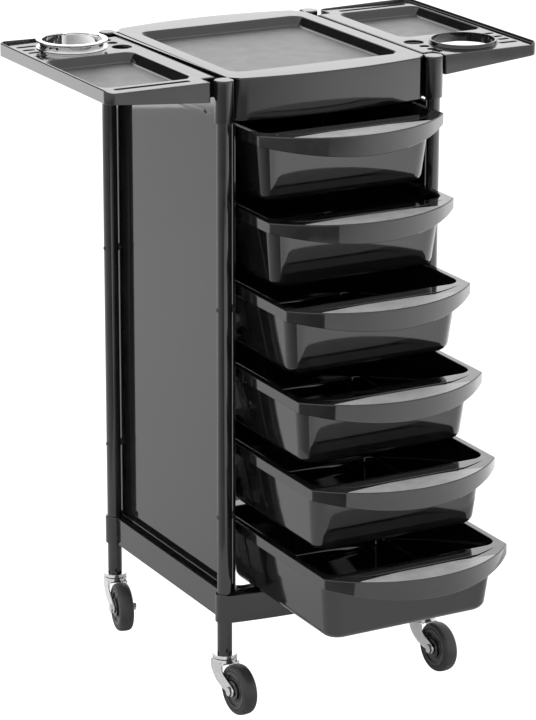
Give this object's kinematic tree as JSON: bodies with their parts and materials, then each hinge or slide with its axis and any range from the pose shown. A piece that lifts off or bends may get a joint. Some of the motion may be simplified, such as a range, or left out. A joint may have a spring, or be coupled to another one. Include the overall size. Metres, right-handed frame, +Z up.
{
  "type": "rolling salon trolley",
  "caption": "Black plastic salon trolley on swivel castors, with stacked pull-out drawers, a top tray and side trays that fold down.",
  "frame": {"origin": "on the floor, under the middle of the whole trolley with its drawers standing pulled out", "axes": "+Z up, -Y towards the front where the drawers come out, +X to the right as seen from the front"},
  "size_m": [0.655, 0.6744, 0.89],
  "materials": {
    "black_moulding": "glossy black moulded plastic, finely grained in the basins",
    "drawer_plastic": "glossy black moulded plastic",
    "panel_gloss": "smooth glossy black sheet",
    "post_black": "gloss black painted steel tube",
    "ring_chrome": "polished chromed pressing",
    "runner_black": "black powder coat",
    "hinge_steel": "plain pressed steel",
    "castor_zinc": "bright zinc-plated steel",
    "tyre_black": "black rubber tread",
    "hub_black": "black moulded hub",
    "screw_black": "black screws",
    "spacer_black": "black nylon washers"
  },
  "bodies": {
    "frame": {"base_frame": "black_moulding", "top_tray": "black_moulding", "castor_sockets": "castor_zinc", "post_screws": "screw_black", "tray_screws": "screw_black", "bracket_screws": "screw_black", "post_spacers": "spacer_black", "post_front_left": "post_black", "post_front_right": "post_black", "post_rear_left": "post_black", "post_rear_right": "post_black", "side_panel_left": "panel_gloss", "runner_uprights_left": "runner_black", "runner_ledges_left": "runner_black", "hinge_bracket_front_left": "hinge_steel", "hinge_bracket_rear_left": "hinge_steel", "side_panel_right": "panel_gloss", "runner_uprights_right": "runner_black", "runner_ledges_right": "runner_black", "hinge_bracket_front_right": "hinge_steel", "hinge_bracket_rear_right": "hinge_steel"},
    "left_flap": {"side_tray_left": "black_moulding", "dryer_ring": "ring_chrome", "hinge_pins_left": "hinge_steel"},
    "right_flap": {"side_tray_right": "black_moulding", "holder_collar": "black_moulding", "hinge_pins_right": "hinge_steel"},
    "drawer_1": {"drawer_1": "drawer_plastic"},
    "drawer_2": {"drawer_2": "drawer_plastic"},
    "drawer_3": {"drawer_3": "drawer_plastic"},
    "drawer_4": {"drawer_4": "drawer_plastic"},
    "drawer_5": {"drawer_5": "drawer_plastic"},
    "drawer_6": {"drawer_6": "drawer_plastic"},
    "castor_front_left": {"castor_stem_front_left": "castor_zinc", "castor_fork_front_left": "castor_zinc", "castor_axle_front_left": "castor_zinc", "castor_nut_front_left": "castor_zinc"},
    "wheel_front_left": {"castor_tyre_front_left": "tyre_black", "castor_hub_front_left": "hub_black"},
    "castor_front_right": {"castor_stem_front_right": "castor_zinc", "castor_fork_front_right": "castor_zinc", "castor_axle_front_right": "castor_zinc", "castor_nut_front_right": "castor_zinc"},
    "wheel_front_right": {"castor_tyre_front_right": "tyre_black", "castor_hub_front_right": "hub_black"},
    "castor_rear_left": {"castor_stem_rear_left": "castor_zinc", "castor_fork_rear_left": "castor_zinc", "castor_axle_rear_left": "castor_zinc", "castor_nut_rear_left": "castor_zinc"},
    "wheel_rear_left": {"castor_tyre_rear_left": "tyre_black", "castor_hub_rear_left": "hub_black"},
    "castor_rear_right": {"castor_stem_rear_right": "castor_zinc", "castor_fork_rear_right": "castor_zinc", "castor_axle_rear_right": "castor_zinc", "castor_nut_rear_right": "castor_zinc"},
    "wheel_rear_right": {"castor_tyre_rear_right": "tyre_black", "castor_hub_rear_right": "hub_black"}
  },
  "joints": [
    {"name": "drawer_1_slide", "type": "slide", "parent": "frame", "child": "drawer_1", "axis": [0, -1, 0], "range_m": [-0.0517, 0.1883]},
    {"name": "drawer_2_slide", "type": "slide", "parent": "frame", "child": "drawer_2", "axis": [0, -1, 0], "range_m": [-0.0816, 0.1584]},
    {"name": "drawer_3_slide", "type": "slide", "parent": "frame", "child": "drawer_3", "axis": [0, -1, 0], "range_m": [-0.128, 0.112]},
    {"name": "drawer_4_slide", "type": "slide", "parent": "frame", "child": "drawer_4", "axis": [0, -1, 0], "range_m": [-0.162, 0.078]},
    {"name": "drawer_5_slide", "type": "slide", "parent": "frame", "child": "drawer_5", "axis": [0, -1, 0], "range_m": [-0.1989, 0.0411]},
    {"name": "drawer_6_slide", "type": "slide", "parent": "frame", "child": "drawer_6", "axis": [0, -1, 0], "range_m": [-0.2334, 0.0066]},
    {"name": "left_flap_fold", "type": "hinge", "parent": "frame", "child": "left_flap", "pos_m": [-0.178, 0.1372, 0.853], "axis": [0, 1, 0], "range_deg": [-90, 0]},
    {"name": "right_flap_fold", "type": "hinge", "parent": "frame", "child": "right_flap", "pos_m": [0.178, 0.1372, 0.853], "axis": [0, 1, 0], "range_deg": [0, 90]},
    {"name": "castor_front_left_swivel", "type": "hinge", "parent": "frame", "child": "castor_front_left", "pos_m": [-0.1592, -0.0348, 0.07], "axis": [0, 0, 1], "continuous": true},
    {"name": "wheel_front_left_spin", "type": "hinge", "parent": "castor_front_left", "child": "wheel_front_left", "pos_m": [-0.1578, -0.07478, 0.0354], "axis": [0.9994, 0.0349, 0], "continuous": true},
    {"name": "castor_front_right_swivel", "type": "hinge", "parent": "frame", "child": "castor_front_right", "pos_m": [0.1592, -0.0348, 0.07], "axis": [0, 0, 1], "continuous": true},
    {"name": "wheel_front_right_spin", "type": "hinge", "parent": "castor_front_right", "child": "wheel_front_right", "pos_m": [0.16129, -0.07475, 0.0354], "axis": [0.9986, 0.0523, 0], "continuous": true},
    {"name": "castor_rear_left_swivel", "type": "hinge", "parent": "frame", "child": "castor_rear_left", "pos_m": [-0.1592, 0.3092, 0.07], "axis": [0, 0, 1], "continuous": true},
    {"name": "wheel_rear_left_spin", "type": "hinge", "parent": "castor_rear_left", "child": "wheel_rear_left", "pos_m": [-0.16752, 0.27007, 0.0354], "axis": [0.9781, -0.2079, 0], "continuous": true},
    {"name": "castor_rear_right_swivel", "type": "hinge", "parent": "frame", "child": "castor_rear_right", "pos_m": [0.1592, 0.3092, 0.07], "axis": [0, 0, 1], "continuous": true},
    {"name": "wheel_rear_right_spin", "type": "hinge", "parent": "castor_rear_right", "child": "wheel_rear_right", "pos_m": [0.16752, 0.27007, 0.0354], "axis": [0.9781, 0.2079, 0], "continuous": true}
  ]
}
